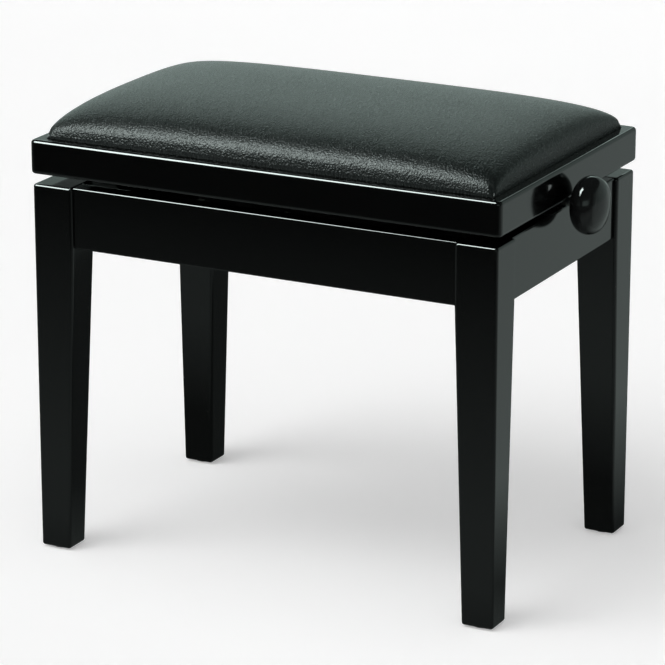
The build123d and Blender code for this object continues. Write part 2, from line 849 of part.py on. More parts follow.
turns = (nut_x - nut_open_x) / spindle_lead
spindle_ratio = 2 * pi * turns / lift_travel
print(f"arm {arm_length:.2f} mm, angle {closed_angle:.5f} to {open_angle:.5f} rad")
print(f"lower pivots at x {pivot_x:.2f}, z {lower_pivot_z:.2f}, drift {link_drift:.3f} mm")
print(f"centre pivot at x {centre_x:.2f}, z {centre_z:.2f}, upper pivots at z {spindle_z:.2f}")
print(f"nut x {nut_x:.2f} to {nut_open_x:.2f}, {turns:.2f} turns, {spindle_ratio:.5f} rad per mm")
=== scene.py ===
import math

import bmesh
import bpy
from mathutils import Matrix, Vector


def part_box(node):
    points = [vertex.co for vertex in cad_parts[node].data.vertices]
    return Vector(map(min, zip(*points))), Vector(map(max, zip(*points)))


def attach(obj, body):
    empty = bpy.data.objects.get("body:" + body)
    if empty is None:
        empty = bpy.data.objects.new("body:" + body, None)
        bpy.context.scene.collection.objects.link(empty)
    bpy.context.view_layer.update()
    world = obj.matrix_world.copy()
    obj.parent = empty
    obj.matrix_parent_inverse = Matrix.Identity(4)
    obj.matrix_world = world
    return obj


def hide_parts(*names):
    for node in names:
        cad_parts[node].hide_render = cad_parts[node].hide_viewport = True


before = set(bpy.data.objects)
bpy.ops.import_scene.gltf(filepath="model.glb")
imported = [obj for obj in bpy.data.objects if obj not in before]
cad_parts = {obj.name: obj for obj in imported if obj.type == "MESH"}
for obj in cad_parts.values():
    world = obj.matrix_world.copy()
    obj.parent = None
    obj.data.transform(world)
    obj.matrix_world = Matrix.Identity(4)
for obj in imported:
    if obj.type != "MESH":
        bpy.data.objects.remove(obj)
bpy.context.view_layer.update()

# Lengths are in metres and angles in degrees; the camera's sensor is in millimetres

# The photograph's viewing angle, and its lens in pixels of the 665-pixel picture
view_azimuth = 27.42
view_elevation = 17.47
view_distance = 3.907
view_target = Vector((-0.00374, 0.0, 0.23544))
view_end = 100.0
picture_pixels = 665
lens_pixels = 3599.2
sensor_width = 36.0

# The studio's floor, its two suns and its softbox
stage_radius = 9.0
stage_wall = 5.0
stage_sweep = 2.5
stage_sides = 96
sweep_steps = 12
stage_glow = 0.295
side_sun_place = Vector((-2.2, -2.9, 4.2))
side_sun_strength = 0.84
side_sun_spread = 40.0
top_sun_place = Vector((-0.5, -1.5, 4.0))
top_sun_strength = 1.15
top_sun_spread = 80.0
key_direction = Vector((-0.47, -0.52, 0.71))
key_distance = 2.4
key_size = (0.8, 2.4)
key_power = 121.0
key_tint = (0.88, 1.0, 0.97)

# What gloss mirrors of the air: levels, and the ranges of a look's height, depth and side where they change
air_tint = (0.8, 1.0, 0.94)
air_low = 0.82
air_horizon = 0.15
air_backdrop = 3.1
air_above = 0.03
air_right = 0.36
air_front = 0.6
horizon_height = (0.22, 0.27)
backdrop_foot_height = (0.335, 0.37)
backdrop_top_height = (0.4, 0.52)
backdrop_depth = (-0.1, 0.6)
backdrop_end_side = (-0.41, -0.05)
front_air_depth = (-0.75, -0.4)
front_air_side = (0.0, 0.25)
front_air_height = (0.1, 0.2)

# What gloss mirrors of the floor: levels, and the ranges to the side and in depth where they change
floor_tint = (0.86, 1.0, 0.96)
floor_mirror_right = 0.43
floor_mirror_front = 0.21
floor_mirror_near = 0.02
floor_mirror_under = 0.055
floor_mirror_behind = 0.65
right_floor_side = (0.26, 0.46)
right_floor_depth = (-0.4, 0.2)
front_floor_depth = (-1.5, -0.45)
under_floor_depth = (-0.28, 0.0)
behind_floor_depth = (0.9, 1.4)
behind_floor_side = (-0.2, 0.2)

# The cushion's cover, the crown of its top, and the foam inside it
frame_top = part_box("seat_rail_front")[1].z
cover_half_x = 0.2615
cover_half_y = 0.1615
cover_tuck = 0.0131
cover_bottom = frame_top - cover_tuck
cover_thickness = 0.0012
cover_turn_in = 0.015
crown_height = 0.043
crown_margin = 0.0002
crown_reach_x = cover_half_x + crown_margin
crown_reach_y = cover_half_y + crown_margin
crown_power_x = 3.5
crown_power_y = 2.6
crown_root_x = 5.3
crown_root_y = 3.0
cover_cells_x = 84
cover_cells_y = 54
cover_crowding = 0.85
wall_rows = 6
wall_bulge = 0.0005
wall_bulge_power = 0.7
tuck_rows = 3
turn_in_rows = 3
corner_round = 0.008
corner_round_low = 0.001
foam_inset = 0.0018
foam_clearance = foam_inset / 4

# The cloth simulation, with the reach of a point, and the heights over the frame where it is held and free
sim_frames = 20
sim_pressure = 4.0
sim_quality = 6
sim_mass = 0.4
sim_stretch = 30.0
sim_shear = 20.0
sim_bending = 3.0
sim_reach = 0.004
sim_hold = 0.004
sim_free = 0.02

# The spindle, as lengths from its inner end
spindle_low, spindle_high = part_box("spindle")
spindle_axis = (spindle_low + spindle_high) / 2
spindle_length = spindle_high.x - spindle_low.x
spindle_sides = 40
journal_radius = 0.004
journal_length = 0.0094
thread_radius = 0.006
thread_length = 0.07545
thread_pitch = 0.003
thread_depth = 0.0012
thread_root = thread_radius - thread_depth
thread_steepness = 6.0
thread_fade = 0.002
thread_rows = 8
relief_radius = 0.005
relief_length = 0.003
shoulder_radius = 0.009
shoulder_length = 0.0057
shaft_radius = 0.004
weld_distance = 1e-6
sharp_edge = 40.0

# Most values of a noise lie in this range
noise_range = (0.3, 0.7)


def remap(share, low, high):
    """A share from 0 to 1, taken to a range."""
    return low + (high - low) * share


def clamp(value, low, high):
    """A value held between two others."""
    return max(low, min(high, value))


def mesh_object(name, points, faces):
    """A new smooth object from points in metres and faces that list the points' numbers."""
    mesh = bpy.data.meshes.new(name)
    mesh.from_pydata(points, [], faces)
    mesh.validate()
    made = bpy.data.objects.new(name, mesh)
    bpy.context.scene.collection.objects.link(made)
    for polygon in mesh.polygons:
        polygon.use_smooth = True
    return made


def ring_faces(rings, sides):
    """Faces between rings of points that follow one another, each ring closed on itself."""
    faces = []
    for ring in range(rings - 1):
        low = ring * sides
        high = low + sides
        for side in range(sides):
            after = (side + 1) % sides
            faces.append((low + side, low + after, high + after, high + side))
    return faces


class Wire:
    """One socket in a node tree. Sums, differences, products and quotients of values add Math nodes."""

    def __init__(self, tree, socket):
        self.tree = tree
        self.socket = socket

    def node(self, kind, settings, sockets, out=0):
        """Adds a node to the tree: its settings first, then the values or wires of its sockets."""
        made = self.tree.nodes.new("ShaderNode" + kind)
        for name, value in settings.items():
            if name == "stops":
                lay_stops(made.color_ramp, value)
            else:
                setattr(made, name, value)
        for name, value in sockets.items():
            feed(self.tree, find(made.inputs, name), value)
        return Wire(self.tree, find(made.outputs, out))

    def math(self, operation, first, second):
        return self.node("Math", {"operation": operation}, {0: first, 1: second})

    def __add__(self, other):
        return self.math("ADD", self, other)

    __radd__ = __add__

    def __sub__(self, other):
        return self.math("SUBTRACT", self, other)

    def __rsub__(self, other):
        return self.math("SUBTRACT", other, self)

    def __mul__(self, other):
        return self.math("MULTIPLY", self, other)

    __rmul__ = __mul__

    def __truediv__(self, other):
        return self.math("DIVIDE", self, other)

    def __rtruediv__(self, other):
        return self.math("DIVIDE", other, self)


def find(sockets, name):
    """A socket by its place, its identifier or its name."""
    if isinstance(name, int):
        return sockets[name]
    for socket in sockets:
        if socket.identifier == name:
            return socket
    return sockets[name]


def feed(tree, socket, value):
    """Links a wire to a socket, or sets the socket's own value."""
    if isinstance(value, Wire):
        tree.links.new(value.socket, socket)
    else:
        socket.default_value = value


def lay_stops(colour_ramp, stops):
    """Gives a colour ramp its stops, each a place and a colour."""
    while len(colour_ramp.elements) < len(stops):
        colour_ramp.elements.new(1.0)
    for element, (place, colour) in zip(colour_ramp.elements, stops):
        element.position = place
        element.color = (*colour, 1.0)


def coordinates(tree, kind):
    """Where a pattern lies: a place on the piece in metres, or the direction of a look into the air."""
    return Wire(tree, None).node("TexCoord", {}, {}, kind)


def new_finish(name):
    """A material, its main shader and the place on the piece in metres."""
    material = bpy.data.materials.new(name)
    material.use_nodes = True
    tree = material.node_tree
    return material, tree.nodes["Principled BSDF"], coordinates(tree, "Object")


def dress(shader, **sockets):
    """Sets or links the main shader's sockets; base_color stands for Base Color."""
    for name, value in sockets.items():
        title = name.replace("_", " ").title().replace("Ior", "IOR")
        feed(shader.id_data, shader.inputs[title], value)


def part(place, axis):
    """One of a place's three values, X, Y or Z."""
    return place.node("SeparateXYZ", {}, {0: place}, axis)


def stretched(place, scales):
    """The place with each direction scaled, to draw a pattern out along a piece."""
    return place.node("VectorMath", {"operation": "MULTIPLY"}, {0: place, 1: scales})


def drawn(place, along, scale_along, scale_across):
    """The place with one direction, by its number, scaled unlike the other two."""
    scales = [scale_across] * 3
    scales[along] = scale_along
    return stretched(place, scales)


def noise(place, size, detail=2.0, roughness=0.5, distortion=0.0, out=0):
    """A soft noise from 0 to 1 with features of about the size given in metres."""
    return place.node("TexNoise", {}, {
        "Vector": place, "Scale": 1.0 / size, "Detail": detail,
        "Roughness": roughness, "Distortion": distortion,
    }, out)


def cells(place, size, smoothness=0.0):
    """Distance from the middle of cells of about the size in metres, with sharp or smoothed borders."""
    feature = "F1"
    sockets = {"Vector": place, "Scale": 1.0 / size}
    if smoothness:
        feature = "SMOOTH_F1"
        sockets["Smoothness"] = smoothness
    return place.node("TexVoronoi", {"feature": feature}, sockets, "Distance")


def ramp(value, *stops):
    """A colour ramp over a value; each stop is a place and a colour."""
    return value.node("ValToRGB", {"stops": stops}, {"Fac": value}, "Color")


def span(value, low, high, new_low, new_high):
    """A value taken from one range to another and held inside it."""
    return value.node("MapRange", {"clamp": True}, {
        "Value": value, "From Min": low, "From Max": high, "To Min": new_low, "To Max": new_high,
    })


def mask(value, start, full):
    """0 up to the start, 1 from the full value on, and an even rise between them."""
    return span(value, start, full, 0.0, 1.0)


def ranged(pattern, low, high):
    """A noise's usual values, taken from low to high."""
    return span(pattern, *noise_range, low, high)


def brighter(first, second):
    """The higher of two values."""
    return first.math("MAXIMUM", first, second)


def mixed(factor, first, second):
    """One colour laid over another."""
    return factor.node("Mix", {"data_type": "RGBA"}, {
        "Factor_Float": factor, "A_Color": first, "B_Color": second,
    }, "Result_Color")


def paint(red, green, blue):
    """A solid colour for a socket."""
    return (red, green, blue, 1.0)


def raised(height, strength, distance):
    """A surface normal raised by a height from 0 to 1 over the distance given in metres."""
    return height.node("Bump", {}, {"Strength": strength, "Distance": distance, "Height": height})


def lacquer():
    """Black high-gloss lacquer, with a trace of orange peel, polishing haze and dust."""
    material, shader, place = new_finish("lacquer_gloss_black")
    haze = noise(place, 0.11, detail=4.0, roughness=0.6)
    swirls = noise(stretched(place, (1.0, 6.0, 1.0)), 0.004, detail=3.0)
    peel = noise(place, 0.006, detail=1.0)
    dust = mask(noise(place, 0.0012, detail=1.0), 0.68, 0.8)
    dress(
        shader,
        base_color=mixed(dust * haze * 0.5, paint(0.001, 0.001, 0.001), paint(0.014, 0.015, 0.015)),
        roughness=ranged(haze * 0.7 + swirls * 0.3, 0.055, 0.11),
        normal=raised(peel, 0.06, 0.0002),
        ior=1.6,
    )
    return material


def leatherette():
    """Black pebble-grained leatherette: rounded pebbles, creases between them, a little shiny on top; its
    colour is darker in the creases and lighter on the pebbles as painted shade and painted light.
    """
    material, shader, place = new_finish("leatherette_pebbled_black")
    wander = noise(place, 0.009)
    loose = place.node("Mix", {"data_type": "VECTOR"}, {
        "Factor_Float": 0.0016, "A_Vector": place, "B_Vector": noise(place, 0.00625, out="Color"),
    }, "Result_Vector")
    pebbles = cells(loose, 0.0022, smoothness=0.1)
    fine_pebbles = cells(loose, 0.0014, smoothness=0.2)
    pores = noise(place, 0.0007)
    grain = (1.0 - pebbles) * 0.6 + (1.0 - fine_pebbles) * 0.3 + pores * 0.1
    crease = 0.35
    crest = 0.8
    dress(
        shader,
        # Painted shade and painted light: the base colour darkens in the grain's creases and lightens on
        # the pebble tops; the wander noise adds a real random tone.
        base_color=mixed(mask(grain * 0.8 + wander * 0.2, crease, crest),
                         paint(0.004, 0.0055, 0.0051), paint(0.0125, 0.017, 0.016)),
        roughness=span(grain, crease, crest, 0.36, 0.21),
        normal=raised(grain, 0.66, 0.001),
        specular_ior_level=0.29,
    )
    return material


def knob_plastic():
    """Polished black knob with fine wiping marks."""
    material, shader, place = new_finish("knob_polished_black")
    wiping = noise(stretched(place, (1.0, 1.0, 9.0)), 0.006, detail=3.0)
    dress(
        shader,
        base_color=mixed(wiping, paint(0.0035, 0.0038, 0.0038), paint(0.007, 0.0075, 0.0075)),
        roughness=ranged(wiping, 0.04, 0.075),
        normal=raised(noise(place, 0.004), 0.03, 0.0002),
    )
    return material


def wood_grain(place, along):
    """Growth rings and fibres drawn out along one direction, each from 0 to 1."""
    lengthways = drawn(place, along, 0.06, 1.0)
    rings = noise(lengthways, 0.006, detail=3.0, distortion=0.8)
    fibres = noise(lengthways, 0.0011)
    return rings, fibres


def stained_wood():
    """Black-stained beech, with the grain just showing; the black also stands in for the shade inside the
    stand, as painted shade.
    """
    material, shader, place = new_finish("beech_stained_black_and_shade")
    rings, fibres = wood_grain(place, 2)
    # Painted shade in part: the near-black staining is real, and it also darkens the corner blocks to the
    # shade inside the stand.
    stain_and_shade = ramp(rings * 0.6 + fibres * 0.4, (0.3, (0.006, 0.0055, 0.005)), (0.7, (0.03, 0.026, 0.022)))
    dress(
        shader,
        base_color=stain_and_shade,
        roughness=ranged(fibres, 0.55, 0.72),
        normal=raised(fibres, 0.3, 0.0003),
    )
    return material


def panel_board():
    """Black-faced hardboard: a matt skin with a faint pressed texture; its black also stands in for the
    shade inside the stand, as painted shade.
    """
    material, shader, place = new_finish("hardboard_black_and_shade")
    pressed = noise(place, 0.0022, detail=3.0)
    scuffs = mask(noise(stretched(place, (0.15, 1.0, 1.0)), 0.004, detail=3.0), 0.6, 0.75)
    dress(
        shader,
        # Painted shade in part: the board's near-black also stands for the shade inside the stand; the
        # lighter scuffs are real wear.
        base_color=mixed(scuffs * 0.35, paint(0.008, 0.008, 0.008), paint(0.04, 0.038, 0.035)),
        roughness=ranged(pressed, 0.62, 0.8),
        normal=raised(pressed, 0.25, 0.0003),
    )
    return material


def bare_wood():
    """Unfinished beech: soft rings, short dark flecks and open fibres."""
    material, shader, place = new_finish("beech_bare")
    rings, fibres = wood_grain(place, 2)
    flecks = mask(noise(stretched(place, (1.0, 1.0, 0.2)), 0.0016), 0.62, 0.7)
    wood = ramp(rings * 0.7 + fibres * 0.3, (0.3, (0.42, 0.27, 0.15)), (0.5, (0.58, 0.41, 0.25)),
                (0.72, (0.68, 0.51, 0.33)))
    dress(
        shader,
        base_color=mixed(flecks * 0.5, wood, paint(0.3, 0.17, 0.09)),
        roughness=ranged(fibres, 0.6, 0.78),
        normal=raised(fibres * 0.7 + rings * 0.3, 0.3, 0.0003),
    )
    return material


def plywood():
    """Birch plywood: a rotary-cut face, and plies that show along the edge."""
    material, shader, place = new_finish("birch_plywood")
    low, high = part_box("seat_board")
    plies = 9
    rings, fibres = wood_grain(place, 0)
    height = part(place, "Z")
    ply = height.math("PINGPONG", (height - low.z) * (plies / (high.z - low.z)), 1.0)
    face = ramp(rings * 0.75 + fibres * 0.25, (0.32, (0.5, 0.35, 0.2)), (0.5, (0.66, 0.5, 0.32)),
                (0.7, (0.74, 0.6, 0.42)))
    edge = ramp(ply, (0.2, (0.36, 0.22, 0.12)), (0.7, (0.68, 0.52, 0.35)))
    upright = part(place.node("NewGeometry", {}, {}, "Normal"), "Z")
    flat = mask(upright * upright, 0.4, 0.6)
    dress(
        shader,
        base_color=mixed(flat, edge, face),
        roughness=ranged(fibres, 0.55, 0.72),
        normal=raised(fibres, 0.25, 0.0003),
    )
    return material


def foam():
    """Open-cell upholstery foam, its colour darker in the pits of the pores as painted shade."""
    material, shader, place = new_finish("upholstery_foam")
    pores = cells(place, 0.0016)
    tone = noise(place, 0.03)
    dress(
        shader,
        # Painted shade: the base colour darkens in the pits of the pore cells; the tone noise adds a real
        # random tone.
        base_color=mixed(mask(pores * 0.8 + tone * 0.2, 0.1, 0.6),
                         paint(0.55, 0.47, 0.27), paint(0.86, 0.79, 0.57)),
        roughness=span(pores, 0.0, 0.7, 0.95, 0.82),
        normal=raised(pores, 0.6, 0.0008),
    )
    return material


def felt():
    """Pressed black felt with matted fibres."""
    material, shader, place = new_finish("felt_black")
    fibres = noise(stretched(place, (1.0, 2.5, 4.0)), 0.0009, detail=4.0, distortion=1.5)
    dress(
        shader,
        base_color=ramp(fibres, (0.35, (0.012, 0.012, 0.012)), (0.7, (0.06, 0.06, 0.06))),
        roughness=ranged(fibres, 0.98, 0.88),
        normal=raised(fibres, 0.7, 0.0005),
    )
    return material


def bronze():
    """Sintered bronze: fine pores and an oily tint."""
    material, shader, place = new_finish("bronze_sintered")
    pores = cells(place, 0.0006)
    oil = noise(place, 0.005, detail=3.0)
    dress(
        shader,
        base_color=mixed(oil, paint(0.42, 0.25, 0.1), paint(0.72, 0.49, 0.24)),
        metallic=1.0,
        roughness=span(oil * 0.6 + pores * 0.4, 0.2, 0.7, 0.28, 0.48),
        normal=raised(pores, 0.25, 0.0002),
    )
    return material


def nylon():
    """Natural nylon rollers, a little dirty where they run."""
    material, shader, place = new_finish("nylon_natural")
    dirt = noise(place, 0.003, detail=4.0, roughness=0.65)
    skin = ramp(dirt, (0.3, (0.5, 0.48, 0.42)), (0.55, (0.78, 0.76, 0.7)), (0.8, (0.84, 0.83, 0.79)))
    dress(
        shader,
        base_color=skin,
        roughness=ranged(dirt, 0.5, 0.34),
        normal=raised(dirt, 0.1, 0.0002),
    )
    return material


def plate_steel():
    """Steel strip, powder-coated black: fine pebbled skin, a little dust and rubbing; the black also stands
    in for the shade inside the stand, as painted shade.
    """
    material, shader, place = new_finish("steel_powder_coated_black_and_shade")
    skin = noise(place, 0.0009)
    dust = noise(place, 0.018, detail=4.0, roughness=0.65)
    rubbed = mask(noise(stretched(place, (0.1, 1.0, 1.0)), 0.003, detail=3.0), 0.62, 0.74)
    # Painted shade in part: the black powder finish is real, and it also darkens the plates to the shade
    # inside the stand; the dust and rubbing are real.
    coat_and_shade = mixed(span(dust, 0.4, 0.75, 0.0, 0.5), paint(0.012, 0.012, 0.0125), paint(0.045, 0.044, 0.042))
    dress(
        shader,
        base_color=mixed(rubbed * 0.3, coat_and_shade, paint(0.075, 0.075, 0.075)),
        roughness=ranged(skin * 0.6 + dust * 0.4, 0.38, 0.56),
        normal=raised(skin, 0.3, 0.0003),
    )
    return material


def turned_steel(name, along):
    """Bright turned steel: tool lines round the axis and a film of grease."""
    material, shader, place = new_finish(name)
    lines = noise(drawn(place, along, 1.0, 0.02), 0.0005)
    grease = noise(place, 0.012, detail=4.0, roughness=0.65)
    film = span(grease, 0.5, 0.72, 0.0, 0.7)
    dress(
        shader,
        base_color=mixed(film, paint(0.62, 0.62, 0.61), paint(0.33, 0.29, 0.22)),
        metallic=1.0,
        roughness=ranged(lines * 0.5 + grease * 0.5, 0.18, 0.38),
        normal=raised(lines, 0.15, 0.0002),
    )
    return material


def fastener_steel():
    """Zinc-plated screws, pins and rings with a faint yellow tint."""
    material, shader, place = new_finish("steel_fastener_zinc_plated")
    clouds = noise(place, 0.004, detail=4.0)
    plating = ramp(clouds, (0.3, (0.46, 0.45, 0.43)), (0.55, (0.64, 0.62, 0.56)), (0.75, (0.7, 0.69, 0.68)))
    dress(
        shader,
        base_color=plating,
        metallic=1.0,
        roughness=ranged(clouds, 0.22, 0.4),
        normal=raised(noise(place, 0.0008), 0.1, 0.0001),
    )
    return material


def crown(x, y):
    """Height of the cushion over the frame's top at a place in plan."""
    across = max(0.0, 1.0 - abs(x / crown_reach_x) ** crown_power_x) ** (1.0 / crown_root_x)
    along = max(0.0, 1.0 - abs(y / crown_reach_y) ** crown_power_y) ** (1.0 / crown_root_y)
    return crown_height * across * along


def crowded(step, count, half):
    """A place from -half to half, with the places closer together towards both ends."""
    share = 2.0 * step / count - 1.0
    return half * (share + cover_crowding * math.sin(math.pi * share) / math.pi)


def cover_rim():
    """The numbers of the points round the edge of the cover's top."""
    columns = cover_cells_x + 1
    rim = list(range(cover_cells_x))
    rim += [row * columns + cover_cells_x for row in range(cover_cells_y)]
    rim += [cover_cells_y * columns + column for column in range(cover_cells_x, 0, -1)]
    rim += [row * columns for row in range(cover_cells_y, 0, -1)]
    return rim


def rounded_corner(x, y, half_x, half_y, radius):
    """A place in plan, drawn in so that the rectangle's corners are round."""
    over_x = abs(x) - (half_x - radius)
    over_y = abs(y) - (half_y - radius)
    if over_x <= 0.0 or over_y <= 0.0:
        return x, y
    share = max(over_x, over_y) / math.hypot(over_x, over_y)
    return (math.copysign(half_x - radius + over_x * share, x),
            math.copysign(half_y - radius + over_y * share, y))


def wall_place(x, y, swell, radius):
    """A place on the cover's edge, swollen outwards, with its corners round."""
    half_x = cover_half_x + swell
    half_y = cover_half_y + swell
    return rounded_corner(x * half_x / cover_half_x, y * half_y / cover_half_y, half_x, half_y, radius)


def edge_place(x, y, top, step):
    """A point some rows below the rim: down the wall, then into the frame, then in under the board."""
    if step <= wall_rows:
        share = step / wall_rows
        swell = wall_bulge * math.sin(math.pi * share) ** wall_bulge_power
        x, y = wall_place(x, y, swell, remap(share, corner_round, corner_round_low))
        return x, y, remap(share, top, frame_top)
    if step <= wall_rows + tuck_rows:
        return x, y, remap((step - wall_rows) / tuck_rows, frame_top, cover_bottom)
    inset = cover_turn_in * (step - wall_rows - tuck_rows) / turn_in_rows
    inner_x = cover_half_x - inset
    inner_y = cover_half_y - inset
    return clamp(x, -inner_x, inner_x), clamp(y, -inner_y, inner_y), cover_bottom


def cover_sheet():
    """The cover as one sheet: crowned top, rolled edge into the frame, and a turn-in under the board."""
    columns = cover_cells_x + 1
    square = []
    points = []
    for row in range(cover_cells_y + 1):
        for column in range(columns):
            x = crowded(column, cover_cells_x, cover_half_x)
            y = crowded(row, cover_cells_y, cover_half_y)
            square.append((x, y))
            points.append((*wall_place(x, y, 0.0, corner_round), frame_top + crown(x, y)))
    faces = []
    for row in range(cover_cells_y):
        for column in range(cover_cells_x):
            corner = row * columns + column
            faces.append((corner, corner + 1, corner + columns + 1, corner + columns))
    rim = cover_rim()
    loop = rim
    for step in range(1, wall_rows + tuck_rows + turn_in_rows + 1):
        next_loop = []
        for start in rim:
            next_loop.append(len(points))
            points.append(edge_place(*square[start], points[start][2], step))
        for place, start in enumerate(loop):
            after = (place + 1) % len(loop)
            faces.append((start, next_loop[place], next_loop[after], loop[after]))
        loop = next_loop
    return points, faces


def hold(piece, name, numbers):
    """Puts points in a new group of the piece, and gives the group's name."""
    group = piece.vertex_groups.new(name=name)
    group.add(numbers, 1.0, "REPLACE")
    return name


def pull_taut(piece):
    """Swells the cover with a cloth simulation, holding what is inside the frame, and keeps the result."""
    before = [vertex.co.copy() for vertex in piece.data.vertices]
    held = [vertex.index for vertex in piece.data.vertices if vertex.co.z < frame_top + sim_hold]
    cloth = piece.modifiers.new("swell", "CLOTH")
    cloth.settings.vertex_group_mass = hold(piece, "held", held)
    cloth.settings.quality = sim_quality
    cloth.settings.mass = sim_mass
    cloth.settings.tension_stiffness = sim_stretch
    cloth.settings.compression_stiffness = sim_stretch
    cloth.settings.shear_stiffness = sim_shear
    cloth.settings.bending_stiffness = sim_bending
    cloth.settings.use_pressure = True
    cloth.settings.uniform_pressure_force = sim_pressure
    cloth.settings.effector_weights.gravity = 0.0
    cloth.collision_settings.use_collision = False
    scene = bpy.context.scene
    for number in range(1, sim_frames + 1):
        scene.frame_set(number)
    swollen = piece.evaluated_get(bpy.context.evaluated_depsgraph_get()).data
    after = [vertex.co.copy() for vertex in swollen.vertices]
    piece.modifiers.remove(cloth)
    scene.frame_set(1)
    for vertex, start, end in zip(piece.data.vertices, before, after):
        move = end - start
        reach = sim_reach * clamp((start.z - frame_top) / sim_free, 0.0, 1.0)
        if move.length > reach:
            move = move * (reach / move.length)
        vertex.co = start + move


def cushion_cover(material):
    """The leatherette cover, swollen by its filling and then given its thickness."""
    points, faces = cover_sheet()
    piece = mesh_object("cushion_cover", points, faces)
    pull_taut(piece)
    thickness = piece.modifiers.new("thickness", "SOLIDIFY")
    thickness.thickness = cover_thickness
    thickness.offset = -1.0
    smooth = piece.modifiers.new("smooth", "SUBSURF")
    smooth.levels = 1
    smooth.render_levels = 1
    piece.data.materials.append(material)
    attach(piece, "seat")
    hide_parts("seat_cover")
    return piece


def cushion_foam(cover, material):
    """The foam pad, which follows the cover's top from inside and rests on the board."""
    top_points = (cover_cells_x + 1) * (cover_cells_y + 1)
    top_faces = cover_cells_x * cover_cells_y
    points = [vertex.co - vertex.normal * foam_inset for vertex in cover.data.vertices[:top_points]]
    faces = [tuple(polygon.vertices) for polygon in cover.data.polygons[:top_faces]]
    rim = cover_rim()
    rest = frame_top + foam_clearance
    foot = len(points)
    points += [Vector((points[start].x, points[start].y, rest)) for start in rim]
    middle = len(points)
    points.append(Vector((0.0, 0.0, rest)))
    for place, start in enumerate(rim):
        after = (place + 1) % len(rim)
        faces.append((start, foot + place, foot + after, rim[after]))
        faces.append((foot + place, middle, foot + after))
    piece = mesh_object("cushion_foam", points, faces)
    piece.data.materials.append(material)
    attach(piece, "seat")
    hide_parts("seat_foam")


def thread_height(along, turn):
    """Height of the thread's ridge, from 0 to 1, at a length and an angle."""
    share = (along / thread_pitch - turn / (2.0 * math.pi)) % 1.0
    ridge = clamp(thread_steepness * (0.5 - abs(share - 0.5)), 0.0, 1.0)
    ends = min(along, thread_length - along) / thread_fade
    return ridge * clamp(ends, 0.0, 1.0)


def plain_rings(start, length, radius):
    """Two rings of one radius, at both ends of a plain length of the spindle."""
    radii = [radius] * spindle_sides
    return [(start, radii), (start + length, radii)]


def thread_rings(start, turns):
    """Rings along the thread, each following the ridge as it winds round."""
    rings = []
    for row in range(round(thread_length / thread_pitch * thread_rows) + 1):
        along = min(thread_length, row * thread_pitch / thread_rows)
        radii = [thread_root + thread_depth * thread_height(along, turn) for turn in turns]
        rings.append((start + along, radii))
    return rings


def weld(mesh):
    """Joins the points that fall together, and turns all faces outwards."""
    work = bmesh.new()
    work.from_mesh(mesh)
    bmesh.ops.remove_doubles(work, verts=work.verts, dist=weld_distance)
    bmesh.ops.recalc_face_normals(work, faces=work.faces)
    work.to_mesh(mesh)
    work.free()


def threaded_spindle(material):
    """The spindle with its real thread between the journal and the relief groove."""
    turns = [2.0 * math.pi * side / spindle_sides for side in range(spindle_sides)]
    relief_start = journal_length + thread_length
    shoulder_start = relief_start + relief_length
    shaft_start = shoulder_start + shoulder_length
    centre = [0.0] * spindle_sides
    rings = [(0.0, centre)]
    rings += plain_rings(0.0, journal_length, journal_radius)
    rings += thread_rings(journal_length, turns)
    rings += plain_rings(relief_start, relief_length, relief_radius)
    rings += plain_rings(shoulder_start, shoulder_length, shoulder_radius)
    rings += plain_rings(shaft_start, spindle_length - shaft_start, shaft_radius)
    rings.append((spindle_length, centre))
    points = []
    for along, radii in rings:
        for turn, radius in zip(turns, radii):
            points.append((spindle_low.x + along,
                           spindle_axis.y + radius * math.cos(turn),
                           spindle_axis.z + radius * math.sin(turn)))
    piece = mesh_object("spindle_threaded", points, ring_faces(len(rings), spindle_sides))
    weld(piece.data)
    piece.data.set_sharp_from_angle(angle=math.radians(sharp_edge))
    piece.data.materials.append(material)
    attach(piece, "spindle_and_knob")
    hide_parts("spindle")


def stage_finish():
    """Pale matt floor, lit from below like a product table."""
    material, shader, place = new_finish("stage_pale")
    tone = noise(place, 0.9)
    dress(
        shader,
        base_color=mixed(tone, paint(0.86, 0.86, 0.86), paint(0.9, 0.9, 0.9)),
        roughness=0.9,
        emission_color=paint(1.0, 1.0, 1.0),
        emission_strength=stage_glow,
        specular_ior_level=0.0,
    )
    return material


def studio_stage():
    """A round pale floor that sweeps up into a wall on every side."""
    profile = [(0.0, 0.0)]
    for step in range(sweep_steps + 1):
        turn = math.radians(90.0 * step / sweep_steps)
        inwards = stage_sweep * (1.0 - math.sin(turn))
        height = stage_sweep * (1.0 - math.cos(turn))
        profile.append((stage_radius - inwards, height))
    profile.append((stage_radius, stage_wall))
    points = []
    for reach, height in profile:
        for side in range(stage_sides):
            turn = 2.0 * math.pi * side / stage_sides
            points.append((reach * math.cos(turn), reach * math.sin(turn), height))
    stage = mesh_object("stage", points, ring_faces(len(profile), stage_sides))
    stage.data.materials.append(stage_finish())
    stage.visible_glossy = False


def aim(thing, place, target):
    """Puts a lamp or the camera at a place and turns it to a target."""
    thing.location = place
    thing.rotation_euler = (target - place).to_track_quat("-Z", "Y").to_euler()


def key_light():
    """A softbox from the front left that only shows as a reflection."""
    data = bpy.data.lights.new("key", "AREA")
    data.shape = "RECTANGLE"
    data.size, data.size_y = key_size
    data.energy = key_power
    data.color = key_tint
    lamp = bpy.data.objects.new("key", data)
    bpy.context.scene.collection.objects.link(lamp)
    target = Vector((0.0, 0.0, frame_top))
    aim(lamp, target + key_direction.normalized() * key_distance, target)
    lamp.visible_diffuse = False
    lamp.visible_camera = False


def soft_sun(name, place, strength, spread):
    """A wide soft light on floor and stool that gloss doesn't mirror."""
    data = bpy.data.lights.new(name, "SUN")
    data.energy = strength
    data.angle = math.radians(spread)
    lamp = bpy.data.objects.new(name, data)
    bpy.context.scene.collection.objects.link(lamp)
    aim(lamp, place, Vector((0.0, 0.0, 0.0)))
    lamp.visible_glossy = False


